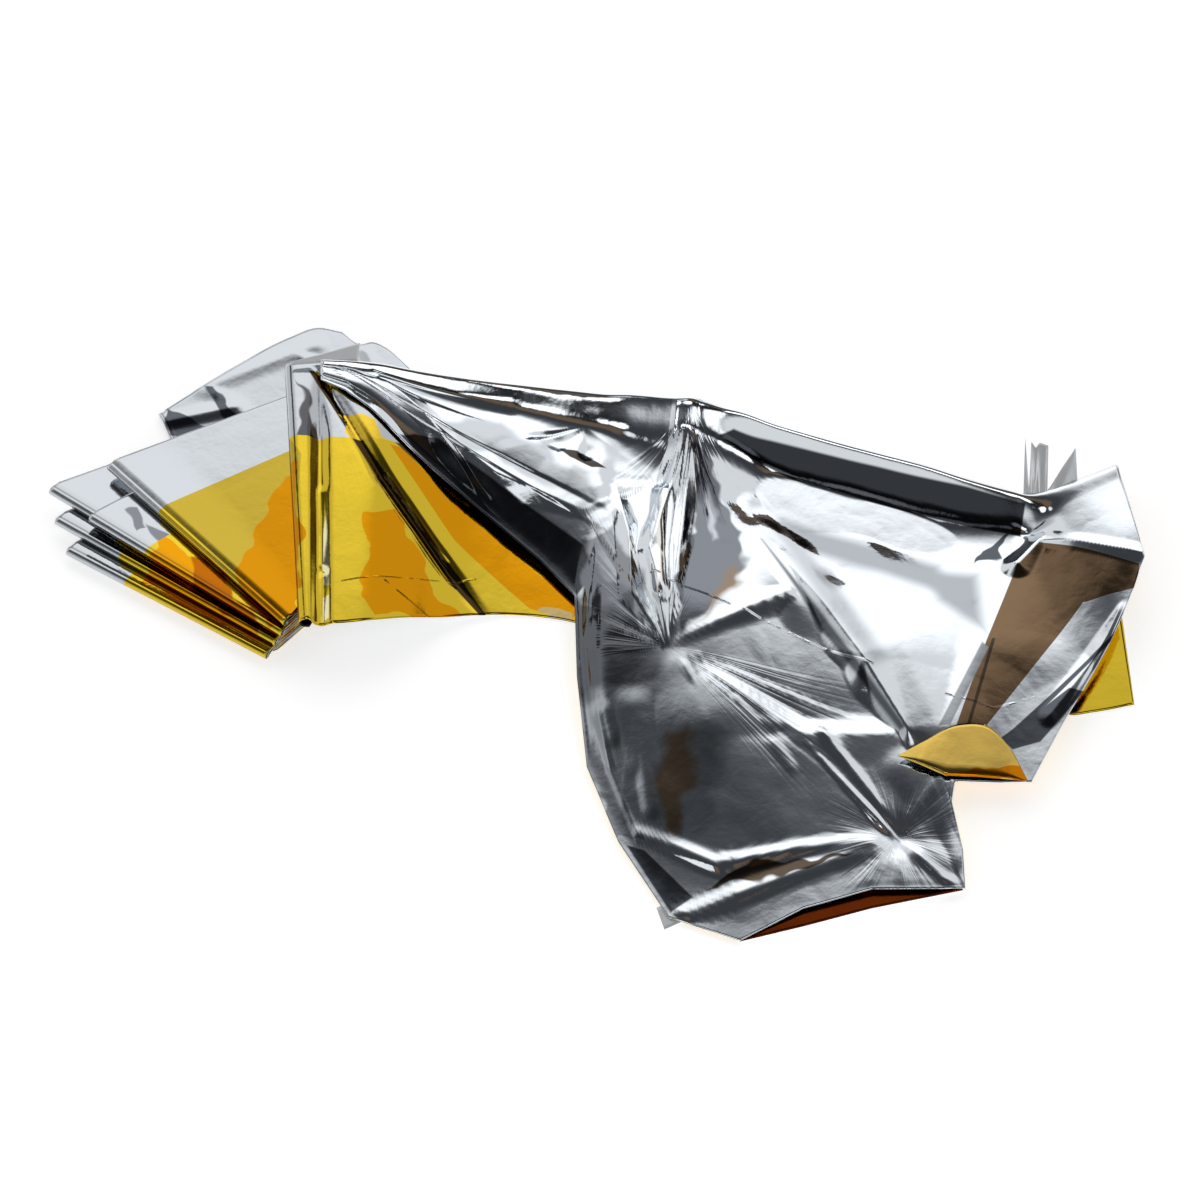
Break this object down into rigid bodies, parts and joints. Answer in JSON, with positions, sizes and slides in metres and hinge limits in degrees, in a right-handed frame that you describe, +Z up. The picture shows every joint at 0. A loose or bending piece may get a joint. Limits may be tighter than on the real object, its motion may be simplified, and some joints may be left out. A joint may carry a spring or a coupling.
{
  "type": "emergency foil blanket",
  "caption": "Partly unfolded metallised film blanket, silver on one face and gold on the other, fanned in accordion folds at one end and opened and crumpled at the other.",
  "frame": {"origin": "middle of the bounding box at the surface that the blanket lies on", "axes": "+Z up from that surface, +X along the length from the accordion folds to the opened end, -Y toward the flap"},
  "size_m": [0.7774, 0.523, 0.0464],
  "materials": {
    "metallised_film": "mirror-bright metallised film, silver on one face and gold on the other, sharply creased"
  },
  "bodies": {
    "root": {"foil_blanket": "metallised_film"}
  },
  "joints": []
}
